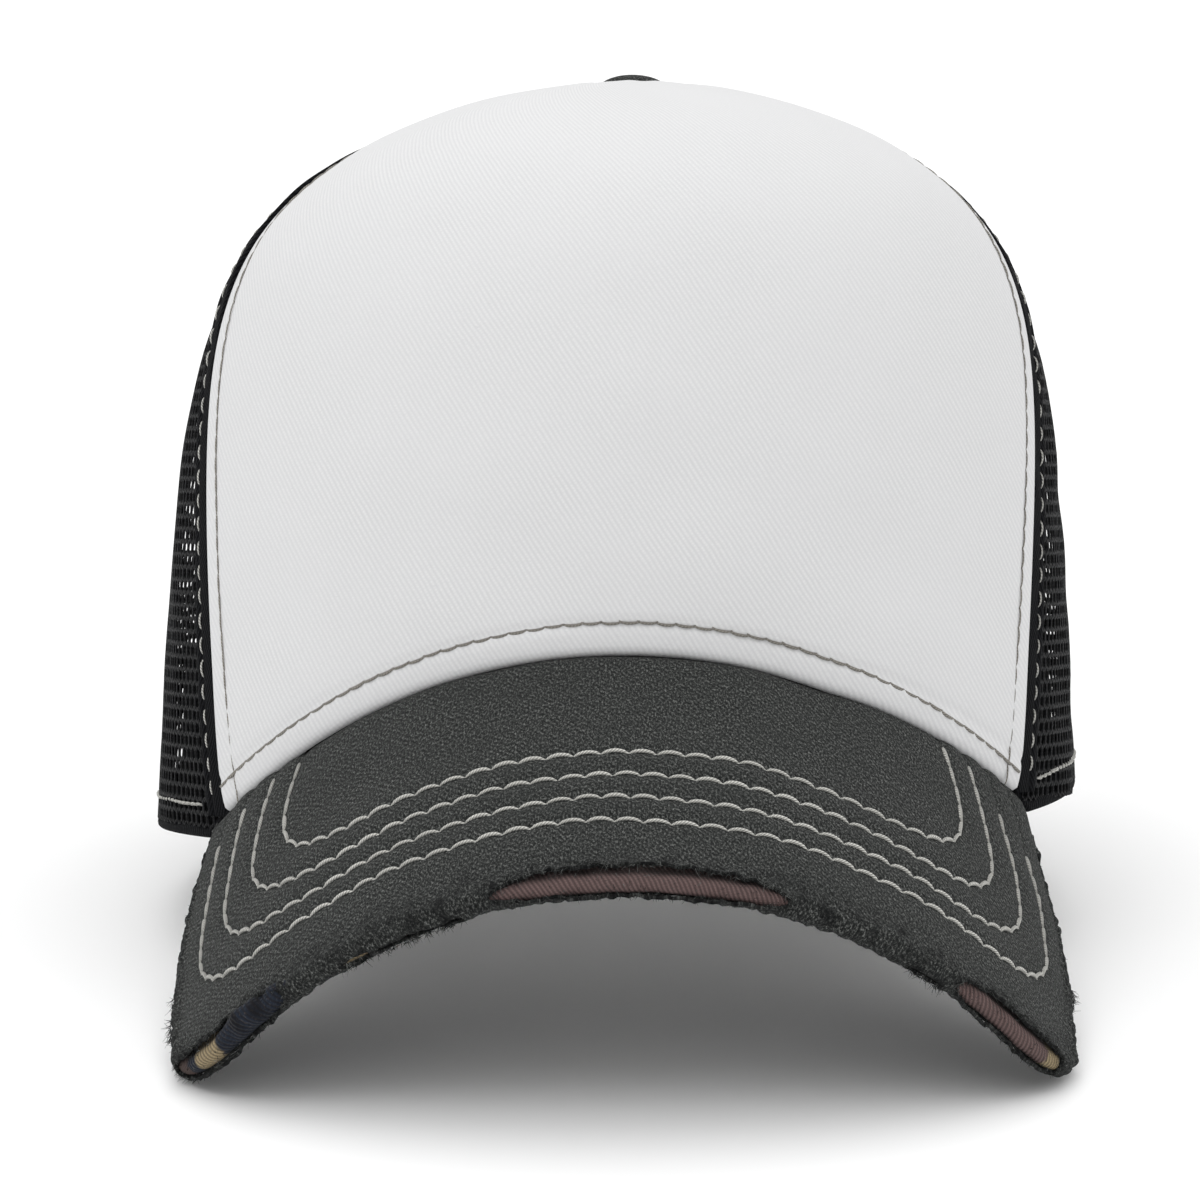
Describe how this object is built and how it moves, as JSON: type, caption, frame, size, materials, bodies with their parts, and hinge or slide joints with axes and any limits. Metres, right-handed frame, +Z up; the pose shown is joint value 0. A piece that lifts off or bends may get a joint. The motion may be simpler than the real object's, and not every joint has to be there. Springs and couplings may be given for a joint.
{
  "type": "trucker mesh cap",
  "caption": "Trucker cap with a twill front panel, see-through mesh sides and back, bent visor, top button and snap-strap closure.",
  "frame": {"origin": "under the middle of the box, on the surface the cap stands on", "axes": "+Z up, the visor points to -Y, the wearer's left is +X; the cap stands tipped back by 11.56 degrees on its two visor tips and on the rim beside the back opening"},
  "size_m": [0.1778, 0.2526, 0.1624],
  "materials": {
    "white_twill": "matt woven",
    "black_twill": "matt woven",
    "black_mesh": "satin knitted",
    "charcoal_twill": "matt brushed",
    "camo_twill": "matt printed",
    "white_buckram": "matt coarse",
    "visor_plastic": "satin",
    "black_cotton": "matt",
    "strap_plastic": "satin",
    "button_metal": "satin",
    "thread": "satin twisted"
  },
  "bodies": {
    "root": {"front_panel": "white_twill", "front_buckram": "white_buckram", "side_mesh_left": "black_mesh", "back_mesh_left": "black_mesh", "seam_strip_left": "black_twill", "front_seam_tape_left": "black_cotton", "back_seam_tape_left": "black_cotton", "rim_tape_left": "black_cotton", "side_mesh_right": "black_mesh", "back_mesh_right": "black_mesh", "seam_strip_right": "black_twill", "front_seam_tape_right": "black_cotton", "back_seam_tape_right": "black_cotton", "rim_tape_right": "black_cotton", "centre_back_tape": "black_cotton", "arch_binding": "black_twill", "sweatband": "black_cotton", "visor_top_cover": "charcoal_twill", "visor_liner": "camo_twill", "visor_board": "visor_plastic", "visor_under_cover": "charcoal_twill", "top_button": "charcoal_twill", "button_back": "black_cotton", "button_shank": "button_metal", "hole_strap_tab": "strap_plastic", "peg_strap_tab": "strap_plastic"},
    "hole_strap": {"hole_strap": "strap_plastic"},
    "peg_strap": {"peg_strap": "strap_plastic"}
  },
  "joints": [
    {"name": "hole_strap_flex", "type": "hinge", "parent": "root", "child": "hole_strap", "pos_m": [0.03652, 0.11166, 0.01227], "axis": [0, 0.2004, 0.9797], "range_deg": [-70, 0]},
    {"name": "peg_strap_flex", "type": "hinge", "parent": "root", "child": "peg_strap", "pos_m": [-0.03608, 0.10999, 0.01261], "axis": [0, 0.2004, 0.9797], "range_deg": [-40, 0]}
  ]
}
